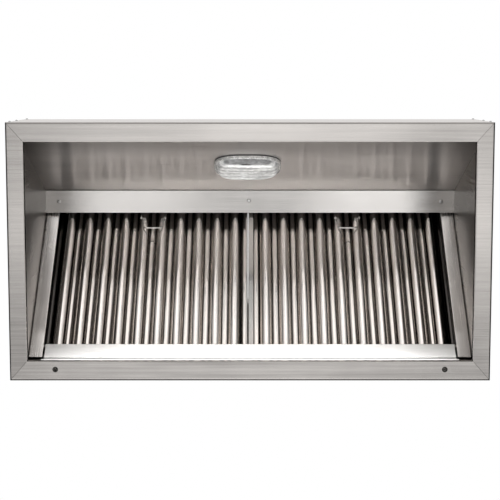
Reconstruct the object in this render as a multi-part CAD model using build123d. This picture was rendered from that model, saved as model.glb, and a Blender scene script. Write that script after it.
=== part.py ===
from build123d import *
import math
import os

# Canopy hood for a commercial kitchen: an open-bottomed stainless box with a
# mitred rim, a sloped inner front wall with a lamp, a bank of two baffle
# filters that leans back over a grease gutter, and a round duct collar on top.
# Millimetres. X is the width, -Y is the cook's side, +Y is the wall, +Z is up,
# and z = 0 is the underside of the rim. "f" values are measured back from the
# front face.

os.makedirs("parts", exist_ok=True)

# ---------------------------------------------------------------- dimensions
WIDTH = 1067.0            # outside width, 42 in
DEPTH = 572.0             # outside front to back, 22.5 in
HEIGHT = 686.0            # rim to the top sheet, 27 in
FASCIA_H = 282.0          # upright part of the front
TOP_FRONT_F = 150.0       # where the top sheet begins
T = 1.2                   # sheet, 18 gauge

RIM_FRONT = 43.0          # visible rim widths, from the outside face
RIM_SIDE = 38.5
RIM_LEG = 20.0            # hidden upright leg against the shell
RIM_LIP = 14.0            # upright return round the mouth
RIM_R = 1.4               # inside bend radius
RIM_HOLE_X = 433.0        # wall fixing holes in the rear rim
RIM_HOLE_F = 547.6
RIM_HOLE_R = 3.8

HEADER_F0 = 190.8         # header shelf above the filters
HEADER_F1 = 250.5
HEADER_Z = 575.0

LINER_Z0 = 45.0           # inner front wall: z = LINER_Z0 + LINER_K * f
LINER_K = 2.778

FILTER_TILT = 47.47       # bank plane, degrees from level
BANK_F0 = 256.7           # a point on the bank's front plane
BANK_Z0 = 580.0
GUIDE_W = 33.6            # face width of the side channels
GUIDE_S0 = -74.0
GUIDE_S1 = 458.7
GUIDE_DEPTH = 32.0

TROUGH_X = 493.9          # half length of the gutter
TROUGH_S0 = 420.3         # its lip, along the bank
TROUGH_S1 = 458.7
FIL_W = 504.0             # filter, nominal 20 x 20 in
FIL_GAP = 1.8
FIL_SHIFT = -5.1          # the joint between the filters, from the middle
FIL_S0 = -67.0
FIL_S1 = 428.0
FIL_D0 = 3.0              # front and back of the filter, behind the bank plane
FIL_D1 = 30.0
FT = 1.0                  # frame sheet
BT = 0.9                  # baffle sheet
LEFT_LIP = 12.4
RIGHT_LIP = 5.0
PITCH = 47.5
CROWN_R = 13.45           # outside of a front baffle's crown
CROWN_D = -4.05           # its top, against the bank plane
FIRST = 44.0
N_FRONT = 10

BAIL_S = 12.0             # pivot of the bail handle along the bank
BAIL_OUT = 1.5            # its height in front of the bank plane
BAIL_R = 2.0              # wire radius
BAIL_HALF = 26.0          # legs, from the handle's middle
BAIL_LEN = 34.5
PIVOT_HOLE_R = 2.07

LAMP_X = -6.0             # middle of the lamp on the inner front wall
LAMP_F = 111.2
LAMP_A = 81.2             # half the width of its ring
LAMP_N = 3.0              # its outline is |x|^N + |y|^N = A^N, a rounded square
GASKET_T = 3.0
LAMP_HOLE_R = 60.0

COLLAR_R = 127.0          # duct collar, 10 in
COLLAR_H = 75.0
COLLAR_F = 381.0
COLLAR_FLANGE = 25.0

HANGER_X = 470.0
HANGER_F = (222.0, 532.0)
HANGER_H = 32.0
HANGER_HOLE_R = 7.0

CONDUIT_R = 8.95
CONDUIT_F = 176.0

RIVET_X = 528.5           # fascia rivets, up both front corners
RIVET_Z = (30.0, 122.0, 269.0)
RIVET_HEAD = 2.6          # they stand proud of the front face
SHIFT_Y = RIVET_HEAD / 2.0    # puts the origin under the middle of the whole

# ------------------------------------------------------------------- helpers
HALF = WIDTH / 2.0
XI = HALF - T             # inside of the side panels


def fy(f):
    """Front-face distance to Y."""
    return f - DEPTH / 2.0


def unit(a):
    n = math.hypot(a[0], a[1])
    return (a[0] / n, a[1] / n)


def strip(path, t, r):
    """Closed section of a folded sheet: centreline path, thickness t, and
    inside bend radius r (one number, or one per bend)."""
    n = len(path)
    rs = r if isinstance(r, (list, tuple)) else [r] * (n - 2)
    dirs = [unit((path[i + 1][0] - path[i][0], path[i + 1][1] - path[i][1])) for i in range(n - 1)]
    h = t / 2.0
    sides = {1: [], -1: []}
    for side in (1, -1):
        out = sides[side]
        nx, ny = -dirs[0][1] * side, dirs[0][0] * side
        out.append(("p", (path[0][0] + nx * h, path[0][1] + ny * h)))
        for i in range(1, n - 1):
            a, b = dirs[i - 1], dirs[i]
            cross = a[0] * b[1] - a[1] * b[0]
            dot = a[0] * b[0] + a[1] * b[1]
            turn = math.atan2(cross, dot)
            rc = rs[i - 1] + h
            tl = rc * math.tan(abs(turn) / 2.0)
            sg = 1 if turn > 0 else -1
            p1 = (path[i][0] - a[0] * tl, path[i][1] - a[1] * tl)
            cen = (p1[0] - a[1] * sg * rc, p1[1] + a[0] * sg * rc)
            rad = rc - h * side * sg
            start = math.atan2(p1[1] - cen[1], p1[0] - cen[0])
            pts = [(cen[0] + rad * math.cos(start + k * turn / 2.0), cen[1] + rad * math.sin(start + k * turn / 2.0)) for k in (0, 1, 2)]
            out.append(("arc", pts))
        nx, ny = -dirs[-1][1] * side, dirs[-1][0] * side
        out.append(("p", (path[-1][0] + nx * h, path[-1][1] + ny * h)))
    edges = []

    def run(items):
        last = None
        for kind, v in items:
            first = v if kind == "p" else v[0]
            if last is not None and math.dist(last, first) > 1e-6:
                edges.append(Edge.make_line((*last, 0), (*first, 0)))
            if kind == "arc":
                edges.append(Edge.make_three_point_arc((*v[0], 0), (*v[1], 0), (*v[2], 0)))
                last = v[2]
            else:
                last = v
        return last

    fwd = sides[1]
    back = []
    for kind, v in reversed(sides[-1]):
        back.append((kind, v if kind == "p" else list(reversed(v))))
    a_end = run(fwd)
    edges.append(Edge.make_line((*a_end, 0), (*back[0][1], 0)))
    b_end = run(back)
    edges.append(Edge.make_line((*b_end, 0), (*fwd[0][1], 0)))
    return Face(Wire(edges))


def poly(points):
    pts = [(p[0], p[1], 0) for p in points]
    return Face(Wire.make_polygon(pts, close=True))


def solid(shape):
    """The one solid of a shape."""
    found = shape.solids()
    assert len(found) == 1, len(found)
    return found[0]


def along(face, plane, length):
    """A section placed on a plane and drawn out along its normal."""
    placed = face.moved(plane.location)
    d = plane.z_dir
    return solid(extrude(placed, amount=length, dir=(d.X, d.Y, d.Z)))


def yz(x):
    """Sections in (Y, Z), drawn out along +X."""
    return Plane(origin=(x, 0, 0), x_dir=(0, 1, 0), z_dir=(1, 0, 0))


def xz(y):
    """Sections in (X, Z), drawn out along -Y."""
    return Plane(origin=(0, y, 0), x_dir=(1, 0, 0), z_dir=(0, -1, 0))


def xy(z):
    return Plane(origin=(0, 0, z), x_dir=(1, 0, 0), z_dir=(0, 0, 1))


SN = math.sin(math.radians(FILTER_TILT))
CN = math.cos(math.radians(FILTER_TILT))
DOWN = (0.0, CN, -SN)            # down the bank
OUT = (0.0, -SN, -CN)            # out of the bank's face


def bank(x, s, out):
    """A point from its place on the filter bank."""
    return (x, fy(BANK_F0) + s * DOWN[1] + out * OUT[1], BANK_Z0 + s * DOWN[2] + out * OUT[2])


def bank_section(s):
    """Sections in (X, out), drawn out down the bank."""
    return Plane(origin=bank(0, s, 0), x_dir=(1, 0, 0), z_dir=DOWN)


def bank_profile(x):
    """Sections in (s, depth behind the face), drawn out along +X."""
    return Plane(origin=bank(x, 0, 0), x_dir=DOWN, z_dir=(1, 0, 0))


def bank_plane(s, out):
    """Flat on the bank: X, and Y up the bank, normal out of the face."""
    return Plane(origin=bank(0, s, out), x_dir=(1, 0, 0), z_dir=OUT)


def box(x0, x1, y0, y1, z0, z1):
    return Solid.make_box(x1 - x0, y1 - y0, z1 - z0, Plane(origin=(x0, y0, z0)))


def cyl(plane, r, h):
    return Solid.make_cylinder(r, h, plane)


def tube(plane, r_out, r_in, h):
    return solid(cyl(plane, r_out, h) - cyl(plane, r_in, h))


def at(plane, x, y, z=0.0):
    """The plane moved to a point in its own coordinates."""
    o = plane.from_local_coords((x, y, z))
    return Plane(origin=(o.X, o.Y, o.Z), x_dir=plane.x_dir, z_dir=plane.z_dir)


def cut(a, *tools):
    for b in tools:
        a = a - b
    return solid(a)


def lathe(edges, plane):
    """A closed section in (radius, height), turned about the plane's normal."""
    face = Face(Wire(edges)).rotate(Axis.X, 90)
    body = solid(revolve(face, Axis.Z, 360))
    return body.moved(plane.location)


def ring_edges(points):
    """Edges from a list of points; a nested triple is an arc."""
    edges = []
    last = None
    first = None
    for p in points + [points[0]]:
        if isinstance(p[0], tuple):
            a, m, b = p
            if last is not None and math.dist(last, a) > 1e-6:
                edges.append(Edge.make_line((*last, 0), (*a, 0)))
            edges.append(Edge.make_three_point_arc((*a, 0), (*m, 0), (*b, 0)))
            last = b
            first = first or a
        else:
            if last is not None and math.dist(last, p) > 1e-6:
                edges.append(Edge.make_line((*last, 0), (*p, 0)))
            last = p
            first = first or p
    return edges


def rounded_square(a, plane, h):
    """The lamp's outline with half width a, at height h over a plane."""
    pts = []
    for k in range(48):
        t = math.radians(7.5 * k)
        c, s = math.cos(t), math.sin(t)
        r = a / (abs(c) ** LAMP_N + abs(s) ** LAMP_N) ** (1.0 / LAMP_N)
        pts.append(plane.from_local_coords((r * c, r * s, h)))
    return Wire([Edge.make_spline(pts, periodic=True)])


def stack(plane, levels):
    """A solid through rounded squares of (half width, height)."""
    return solid(Solid.make_loft([rounded_square(a, plane, h) for a, h in levels], True))


def dome_arc(r, z, top):
    """Arc from (r, z) to the axis at top, round a centre on the axis."""
    c = (r * r + z * z - top * top) / (2.0 * (z - top))
    a = 0.5 * math.atan2(r, z - c)
    rad = top - c
    return ((r, z), (rad * math.sin(a), c + rad * math.cos(a)), (0, top))


def hexagon(plane, across, h):
    r = across / math.sqrt(3)
    pts = [(r * math.cos(math.radians(60 * k)), r * math.sin(math.radians(60 * k))) for k in range(6)]
    return along(poly(pts), plane, h)


def save(name, *solids):
    placed = [s.moved(Location((0, SHIFT_Y, 0))) for s in solids]
    shape = placed[0] if len(placed) == 1 else Compound(children=placed)
    shape.label = name
    export_step(shape, "parts/%s.step" % name)


# ------------------------------------------------------------ the outer shell
top_f = fy(TOP_FRONT_F)
front_y = -DEPTH / 2.0
rear_y = DEPTH / 2.0

# Upright fascia. Its foot stands level with the rim's underside.
fascia = box(-XI, XI, front_y, front_y + T, 0, FASCIA_H)

# Raked upper front, with a lap flange down behind the fascia and a flange back
# under the top sheet.
slope_dir = unit((top_f - front_y, HEIGHT - FASCIA_H))
slope_nrm = (-slope_dir[1], slope_dir[0])      # outwards
s_a = (front_y + T + 0.6, FASCIA_H - 22.0)
s_b = (front_y + T + 0.6, FASCIA_H + 0.4)
s_c = (top_f + 1.0, HEIGHT - T - 0.6)
s_d = (top_f + 10.0, HEIGHT - T - 0.6)
slope_panel = along(strip([s_a, s_b, s_c, s_d], T, [1.2, 1.2]), yz(-XI + 0.0), 2 * XI)

# Top sheet, with its duct, lamp-wire and hanger holes.
top_sheet = box(-XI, XI, top_f, rear_y - T, HEIGHT - T, HEIGHT)
top_plane = xy(HEIGHT - T)
top_sheet = cut(top_sheet, cyl(at(top_plane, 0, fy(COLLAR_F)), COLLAR_R - T, T),
                cyl(at(top_plane, LAMP_X, fy(CONDUIT_F)), 11.2, T))

# Rear sheet, to the wall.
rear = box(-XI, XI, rear_y - T, rear_y, 0, HEIGHT)

# Side sheets, outside everything.
side_outline = [(front_y, 0), (rear_y, 0), (rear_y, HEIGHT), (top_f, HEIGHT), (front_y, FASCIA_H)]
left_side = along(poly(side_outline), yz(-HALF), T)
right_side = along(poly(side_outline), yz(XI), T)

# ----------------------------------------------------------------- the rim
rim_y0 = front_y + T
rim_y1 = rear_y - T
mouth_x = HALF - RIM_SIDE
mouth_y = DEPTH / 2.0 - RIM_FRONT
MITRE_GAP = 0.12


def rim_wedge(corners):
    """Plan outline of one rim piece, a little inside its mitres."""
    return along(poly(corners), xy(-1.0), 40.0)


def rim_section(outer, inner):
    """(across, up) centreline of the rim from its outer leg to the mouth lip."""
    sg = 1 if inner > outer else -1
    return [(outer + sg * T / 2, RIM_LEG), (outer + sg * T / 2, T / 2), (inner - sg * T / 2, T / 2), (inner - sg * T / 2, RIM_LIP)]


g = MITRE_GAP
front_rim = along(strip(rim_section(rim_y0, -mouth_y), T, RIM_R), yz(-XI), 2 * XI)
front_rim = solid(front_rim & rim_wedge([(-XI + g, rim_y0), (XI - g, rim_y0), (mouth_x - g, -mouth_y), (-mouth_x + g, -mouth_y)]))
rear_rim = along(strip(rim_section(rim_y1, mouth_y), T, RIM_R), yz(-XI), 2 * XI)
rear_rim = solid(rear_rim & rim_wedge([(-XI + g, rim_y1), (XI - g, rim_y1), (mouth_x - g, mouth_y), (-mouth_x + g, mouth_y)]))
left_rim = along(strip(rim_section(-XI, -mouth_x), T, RIM_R), xz(rim_y1), rim_y1 - rim_y0)
left_rim = solid(left_rim & rim_wedge([(-XI, rim_y0 + g), (-mouth_x, -mouth_y + g), (-mouth_x, mouth_y - g), (-XI, rim_y1 - g)]))
right_rim = along(strip(rim_section(XI, mouth_x), T, RIM_R), xz(rim_y1), rim_y1 - rim_y0)
right_rim = solid(right_rim & rim_wedge([(XI, rim_y0 + g), (mouth_x, -mouth_y + g), (mouth_x, mouth_y - g), (XI, rim_y1 - g)]))

rim_plane = xy(0)
for sx in (-1, 1):
    rear_rim = cut(rear_rim, cyl(at(rim_plane, sx * RIM_HOLE_X, fy(RIM_HOLE_F)), RIM_HOLE_R, T))

# --------------------------------------------------- inner front and header
ku = unit((1.0, LINER_K))                      # up the inner front wall
kn = (ku[1], -ku[0])                           # into the hood
off = -T / 2.0                                 # sheet lies behind its face


def liner_at(f):
    return (fy(f) + kn[0] * off, LINER_Z0 + LINER_K * f + kn[1] * off)


l_top = liner_at(HEADER_F0 - 1.2)
foot_y = front_y + T + T / 2.0 + 0.05
foot_z = LINER_Z0 + LINER_K * (foot_y - fy(0) - kn[0] * off) + kn[1] * off
liner = along(strip([(foot_y, 23.0), (foot_y, foot_z), l_top], T, 2.0), yz(-XI), 2 * XI)

LAMP = Plane(origin=(LAMP_X, fy(LAMP_F), LINER_Z0 + LINER_K * LAMP_F), x_dir=(1, 0, 0), z_dir=(0, kn[0], kn[1]))
liner = cut(liner, cyl(at(LAMP, 0, 0, -6), LAMP_HOLE_R, 12))

# Header shelf: level, with a small front upstand, and a flat hem at its back edge.
h_z = HEADER_Z + T / 2.0
header = along(strip([(fy(HEADER_F0) + 0.6, HEADER_Z + 19.0), (fy(HEADER_F0) + 0.6, h_z), (fy(HEADER_F1), h_z)], T, 1.0), yz(-XI), 2 * XI)
header_hem = box(-XI, XI, fy(HEADER_F1) - 10.0, fy(HEADER_F1), HEADER_Z + T, HEADER_Z + 2 * T)
header = solid(header.fuse(header_hem))
header = solid(header.fillet(1.1, [e for e in header.edges() if abs(e.center().Y - fy(HEADER_F1)) < 0.01 and abs(e.length - 2 * XI) < 0.5
                                   and abs(e.center().Z - HEADER_Z) < 0.01]))

# Upright sheet between the header and the top: the plenum's front.
plenum_front = box(-XI, XI, fy(HEADER_F0) + T, fy(HEADER_F0) + 2 * T, HEADER_Z + 3.0, HEIGHT - T)

# Header screws, up through the shelf into rivet nuts.
header_screws = []
nuts = []
for sx, sf in ((-498.0, 221.0), (498.0, 221.0), (-3.0, 218.5)):
    hp = Plane(origin=(sx, fy(sf), HEADER_Z), x_dir=(1, 0, 0), z_dir=(0, 0, -1))
    head = lathe(ring_edges([(0, 0), (5.0, 0), ((5.0, 0.9), (4.1, 2.1), (2.4, 2.7)), (0, 2.7)]), hp)
    slot_a = Solid.make_box(5.2, 0.9, 1.4, Plane(origin=(sx - 2.6, fy(sf) - 0.45, HEADER_Z - 2.9)))
    slot_b = Solid.make_box(0.9, 5.2, 1.4, Plane(origin=(sx - 0.45, fy(sf) - 2.6, HEADER_Z - 2.9)))
    shank = cyl(Plane(origin=(sx, fy(sf), HEADER_Z)), 2.4, 12.0)
    header_screws.append(solid(cut(head, slot_a, slot_b).fuse(shank)))
    header = cut(header, cyl(Plane(origin=(sx, fy(sf), HEADER_Z - 1)), 2.45, 4.0))
    nut = cyl(Plane(origin=(sx, fy(sf), HEADER_Z + T)), 4.6, 8.0)
    nuts.append(cut(nut, cyl(Plane(origin=(sx, fy(sf), HEADER_Z)), 2.45, 12.0)))

# ----------------------------------------------------------- filter guides
behind_wall = box(-600, 600, rear_y - T - 0.4, rear_y + 200, -100, 900)
g_path = [(-XI + GUIDE_W + 0.0, -T / 2), (-XI + T / 2, -T / 2), (-XI + T / 2, -GUIDE_DEPTH), (-XI + 24.0, -GUIDE_DEPTH)]
left_guide = along(strip(g_path, T, 1.6), bank_section(GUIDE_S0), GUIDE_S1 - GUIDE_S0)
hem_l = along(poly([(-XI + GUIDE_W - 9.0, -T), (-XI + GUIDE_W - 9.0, -2 * T), (-XI + GUIDE_W, -2 * T), (-XI + GUIDE_W, -T)]), bank_section(GUIDE_S0), GUIDE_S1 - GUIDE_S0)
left_guide = solid(left_guide.fuse(hem_l))
left_guide = solid(left_guide.fillet(1.0, [e for e in left_guide.edges() if e.length > 500 and abs(e.center().X - (-XI + GUIDE_W)) < 0.01]))
left_guide = cut(left_guide, behind_wall)
right_guide = left_guide.mirror(Plane.YZ)
right_guide = solid(right_guide)

# ----------------------------------------------------------------- gutter
back_y = rear_y - T - T / 2.0
lip = bank(0, TROUGH_S0, -T / 2)
# The front leg must stay in the bank plane, so the fold sits where that plane meets the back leg.
s_fold = (back_y - (fy(BANK_F0) + (-T / 2) * OUT[1])) / DOWN[1]
fold = bank(0, s_fold, -T / 2)
t_path = [(back_y, 300.0), (back_y, fold[2]), (lip[1], lip[2])]
trough = along(strip(t_path, T, 1.0), yz(-TROUGH_X), 2 * TROUGH_X)
hem_t = along(poly([(TROUGH_S0, T), (TROUGH_S0, 2 * T), (TROUGH_S0 + 9.0, 2 * T), (TROUGH_S0 + 9.0, T)]), bank_profile(-TROUGH_X), 2 * TROUGH_X)
trough = solid(trough.fuse(hem_t))
trough = solid(trough.fillet(1.0, [e for e in trough.edges() if abs(e.length - 2 * TROUGH_X) < 0.5
                                   and math.dist((e.center().Y, e.center().Z), bank(0, TROUGH_S0, 0)[1:]) < 0.05]))

caps = []
in0 = bank(0, FIL_S1 + 2.4, -T - 0.02)
cap_toe = bank(0, s_fold - 4.2, -T - 0.02)
cap_back = back_y - T / 2 - 0.02
for x0 in (-TROUGH_X + 0.3, TROUGH_X - 0.3 - T):
    caps.append(along(poly([(in0[1], in0[2]), (cap_toe[1], cap_toe[2]), (cap_back, cap_toe[2] + 3.6), (cap_back, in0[2])]), yz(x0), T))

# Wall strip that carries the gutter.
cleat_top = fold[2] - 3.6
cleat = box(-TROUGH_X, TROUGH_X, rear_y - 2 * T, rear_y - T, cleat_top - 44.0, cleat_top)
cleat_lip = box(-TROUGH_X, TROUGH_X, rear_y - 2 * T - 7.0, rear_y - 2 * T, cleat_top - 44.0, cleat_top - 44.0 + T)
cleat = solid(cleat.fuse(cleat_lip))

# Angle in the gutter that the filters stand on, drained at its front.
rest_s = FIL_S1 + 0.25
rest = along(strip([(rest_s + T / 2, 11.0), (rest_s + T / 2, 28.4)], T, []), bank_profile(-484.0), 968.0)
rest_tab = cut(rest, *[along(poly([(rest_s - 1, 11.0), (rest_s + 3, 11.0), (rest_s + 3, 17.0), (rest_s - 1, 17.0)]), bank_profile(-470.0 + 94.0 * k - 10.0), 20.0) for k in range(11)])
rest = rest_tab

# --------------------------------------------------------------- filters


def front_baffle(cx):
    """Half-round crown with two straight flanks."""
    p = [(-14.65, -16.2), (0.0, 6.35), (14.65, -16.2)]
    return along(strip([(cx + a, b) for a, b in p], BT, CROWN_R - BT), bank_section(FIL_S0 + 2.2), FIL_S1 - FIL_S0 - 4.4)


def rear_baffle(cx, right_end=False):
    """Round-bottomed channel that the front baffles' flanks hang in."""
    p = [(-17.3, -10.5), (0.0, -45.0), (17.3, -10.5)]
    made = along(strip([(cx + a, b) for a, b in p], BT, 15.05), bank_section(FIL_S0 + 2.2), FIL_S1 - FIL_S0 - 4.4)
    if right_end:
        made = cut(made, along(poly([(cx + 7.4, -40.0), (cx + 60.0, -40.0), (cx + 60.0, 0.0), (cx + 7.4, 0.0)]), bank_section(FIL_S0), FIL_S1 - FIL_S0))
    return made


def under_crown(cx):
    """The round bar that a crown's outer skin would wrap, to fit things on it."""
    return Solid.make_cylinder(CROWN_R, 60.0, Plane(origin=bank(cx, -20.0, CROWN_D - CROWN_R), x_dir=(1, 0, 0), z_dir=DOWN))


def bail(mx):
    """Wire handle: stubs through the lugs, legs down the bank, a cross bar."""
    pts = [(BAIL_HALF + 7.4, BAIL_S), (BAIL_HALF, BAIL_S), (BAIL_HALF, BAIL_S + BAIL_LEN), (-BAIL_HALF, BAIL_S + BAIL_LEN), (-BAIL_HALF, BAIL_S), (-BAIL_HALF - 7.4, BAIL_S)]
    radii = [4.2, 11.0, 11.0, 4.2]
    edges = []
    last = pts[0]
    for i in range(1, len(pts) - 1):
        a = unit((pts[i][0] - pts[i - 1][0], pts[i][1] - pts[i - 1][1]))
        b = unit((pts[i + 1][0] - pts[i][0], pts[i + 1][1] - pts[i][1]))
        r = radii[i - 1]
        p1 = (pts[i][0] - a[0] * r, pts[i][1] - a[1] * r)
        p2 = (pts[i][0] + b[0] * r, pts[i][1] + b[1] * r)
        cen = (p1[0] + b[0] * r, p1[1] + b[1] * r)
        m = unit((pts[i][0] - cen[0], pts[i][1] - cen[1]))
        mid = (cen[0] + m[0] * r, cen[1] + m[1] * r)
        if math.dist(last, p1) > 1e-6:
            edges.append((last, p1))
        edges.append((p1, mid, p2))
        last = p2
    edges.append((last, pts[-1]))

    def w(p):
        return bank(mx + p[0], p[1], BAIL_OUT)

    made = [Edge.make_line(w(e[0]), w(e[1])) if len(e) == 2 else Edge.make_three_point_arc(w(e[0]), w(e[1]), w(e[2])) for e in edges]
    wire = Wire(made)
    start = Plane(origin=w(pts[0]), x_dir=DOWN, z_dir=(-1, 0, 0))
    section = Face(Wire.make_circle(BAIL_R, start))
    return solid(sweep(section, path=wire))


def lug(mx, sx):
    """Riveted clip on a baffle's crown, with an ear that the wire turns in."""
    x_out = mx + sx * (BAIL_HALF + 5.4)
    cx = mx + sx * PITCH / 2.0
    inner, outer = CROWN_R + 0.05, CROWN_R + 1.25
    a0, a1 = math.asin(-4.75 / outer), math.asin((x_out - cx) * sx / outer)

    def on(r, a):
        return (cx + sx * r * math.sin(a), CROWN_D - CROWN_R + r * math.cos(a), 0)

    am = (a0 + a1) / 2.0
    base = Face(Wire([Edge.make_three_point_arc(on(outer, a0), on(outer, am), on(outer, a1)), Edge.make_line(on(outer, a1), on(inner, a1)),
                      Edge.make_three_point_arc(on(inner, a1), on(inner, am), on(inner, a0)), Edge.make_line(on(inner, a0), on(outer, a0))]))
    foot = along(base, bank_section(BAIL_S - 6.0), 12.0)
    ear = along(poly([(x_out - sx * 1.4, -5.4), (x_out, -5.4), (x_out, 4.4), (x_out - sx * 1.4, 4.4)]), bank_section(BAIL_S - 4.4), 8.8)
    body = solid(foot.fuse(ear))
    hole = Solid.make_cylinder(PIVOT_HOLE_R, 8.0, Plane(origin=bank(x_out - 4.0, BAIL_S, BAIL_OUT), z_dir=(1, 0, 0)))
    body = cut(body, hole)
    return body


def make_filter(side, x0):
    x1 = x0 + FIL_W
    front_d = FIL_D0 + FT / 2
    back_d = FIL_D1 - FT / 2
    top = along(strip([(FIL_S0 + 14.0, front_d), (FIL_S0 + FT / 2, front_d), (FIL_S0 + FT / 2, back_d), (FIL_S0 + 14.0, back_d)], FT, 0.8), bank_profile(x0), FIL_W)
    bottom = along(strip([(FIL_S1 - 7.0, front_d), (FIL_S1 - FT / 2, front_d), (FIL_S1 - FT / 2, back_d), (FIL_S1 - 7.0, back_d)], FT, 0.8), bank_profile(x0), FIL_W)
    s_a0, s_a1 = FIL_S0 + 14.05, FIL_S1 - 7.05
    lft = along(strip([(x0 + LEFT_LIP, -front_d), (x0 + FT / 2, -front_d), (x0 + FT / 2, -back_d), (x0 + LEFT_LIP, -back_d)], FT, 0.8), bank_section(s_a0), s_a1 - s_a0)
    rgt = along(strip([(x1 - RIGHT_LIP, -front_d), (x1 - FT / 2, -front_d), (x1 - FT / 2, -back_d), (x1 - RIGHT_LIP, -back_d)], FT, 0.8), bank_section(s_a0), s_a1 - s_a0)
    # Drain slots in the bottom channel.
    for k in range(8):
        cx = x0 + 40.0 + k * 60.5
        slot = along(poly([(FIL_S1 - 3.0, 12.0), (FIL_S1 + 2.0, 12.0), (FIL_S1 + 2.0, 20.0), (FIL_S1 - 3.0, 20.0)]), bank_profile(cx - 15.0), 30.0)
        bottom = cut(bottom, slot)
    fronts = [front_baffle(x0 + FIRST + PITCH * k) for k in range(N_FRONT)]
    rears = [rear_baffle(x0 + FIRST + PITCH * (k - 0.5)) for k in range(N_FRONT)]
    rears.append(rear_baffle(x0 + FIRST + PITCH * (N_FRONT - 0.5), right_end=True))
    mx = x0 + FIRST + PITCH * 4.5
    lugs = [lug(mx, -1), lug(mx, 1)]
    rivets = []
    for k in range(N_FRONT):
        rp = bank_plane(9.6, -4.05)
        cx = x0 + FIRST + PITCH * k
        if k in (4, 5):
            continue
        rivets.append(cut(lathe(ring_edges([(0, -0.6), (2.6, -0.6), (2.6, 0), ((2.6, 0.35), (1.9, 1.05), (1.0, 1.3)), (0, 1.3)]), at(rp, cx, 0)), under_crown(cx)))
    for sx in (-1, 1):
        rp = bank_plane(BAIL_S + 1.0, -2.8)
        rivets.append(lathe(ring_edges([(0, 0), (2.1, 0), ((2.1, 0.2), (1.6, 0.65), (0.9, 0.8)), (0, 0.8)]), at(rp, mx + sx * (BAIL_HALF - 3.6), 0)))
    save("%s_filter_top_channel" % side, top)
    save("%s_filter_bottom_channel" % side, bottom)
    save("%s_filter_left_channel" % side, lft)
    save("%s_filter_right_channel" % side, rgt)
    save("%s_filter_front_baffles" % side, *fronts)
    save("%s_filter_rear_baffles" % side, *rears)
    save("%s_filter_handle_lugs" % side, *lugs)
    save("%s_filter_rivets" % side, *rivets)
    save("%s_filter_handle" % side, bail(mx))


# ------------------------------------------------------------------- lamp
G = GASKET_T
gasket = cut(stack(LAMP, [(LAMP_A - 0.5, 0), (LAMP_A - 0.5, G)]), cyl(at(LAMP, 0, 0, -1), 60.4, G + 2))
ring = stack(LAMP, [(LAMP_A, G), (LAMP_A, G + 4.2), (LAMP_A - 0.3, G + 5.6), (LAMP_A - 1.1, G + 6.6)])
ring = cut(ring, stack(LAMP, [(LAMP_A - 4.8, G - 1), (LAMP_A - 4.8, G + 4.0)]), stack(LAMP, [(LAMP_A - 6.0, G + 3.0), (LAMP_A - 6.0, G + 8.0)]))
lens = stack(LAMP, [(74.4, G), (74.4, G + 4.0), (73.8, 13.0), (71.8, 17.2), (67.5, 20.4), (60.0, 22.2), (40.0, 23.4)])
lens = solid(lens.fuse(stack(LAMP, [(76.2, G), (76.2, G + 3.9)])))
lens = cut(lens, stack(LAMP, [(70.4, G - 1), (70.4, 12.0), (68.4, 15.4), (64.6, 17.8), (57.5, 19.4), (38.0, 20.4)]))
pan = lathe(ring_edges([(57.0, G + 0.1), (57.0, -40.0), (0, -40.0), (0, -41.4), (58.4, -41.4), (58.4, G + 0.1), (69.8, G + 0.1), (69.8, G + 1.4), (57.0, G + 1.4)]), LAMP)

P_AXIS = -17.0
socket_plane = Plane(origin=LAMP.from_local_coords((-53.0, 0, P_AXIS)), x_dir=LAMP.y_dir, z_dir=(1, 0, 0))
socket = lathe(ring_edges([(0, 0), (15.0, 0), (17.0, 4.0), (17.0, 26.0), (15.2, 30.0), (14.0, 30.0), (14.0, 6.0), (0, 6.0)]), socket_plane)
bulb = lathe(ring_edges([
    (0, 6.4), (6.0, 6.4), (12.8, 9.0), (12.8, 28.0), (13.4, 31.0),
    ((13.4, 31.0), (15.6, 36.0), (16.0, 42.0)),
    (16.0, 84.0),
    dome_arc(16.0, 84.0, 99.4),
]), socket_plane)
bracket_plane = Plane(origin=LAMP.from_local_coords((-50.0, 0, -40.0)), x_dir=(1, 0, 0), z_dir=LAMP.z_dir)
socket_bracket = along(poly([(0, -11.0), (16.0, -11.0), (16.0, 11.0), (0, 11.0)]), bracket_plane, 40.0 + P_AXIS)
socket_bracket = cut(socket_bracket, cyl(socket_plane, 17.05, 120.0))

lamp_screws = []
for ax, ay in ((-35.0, 75.9), (35.0, 75.9), (35.0, -75.9), (-35.0, -75.9)):
    sp = at(LAMP, ax, ay, G + 6.6)
    head = lathe(ring_edges([(0, 0), (2.4, 0), ((2.4, 0.5), (1.9, 1.3), (1.1, 1.6)), (0, 1.6)]), sp)
    back = at(LAMP, ax, ay, -7.0)
    head = solid(head.fuse(cyl(back, 1.4, G + 13.7)))
    lamp_screws.append(head)
    hole = cyl(at(LAMP, ax, ay, -8.0), 1.45, 20.0)
    ring = cut(ring, hole)
    gasket = cut(gasket, hole)
    liner = cut(liner, hole)

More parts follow.
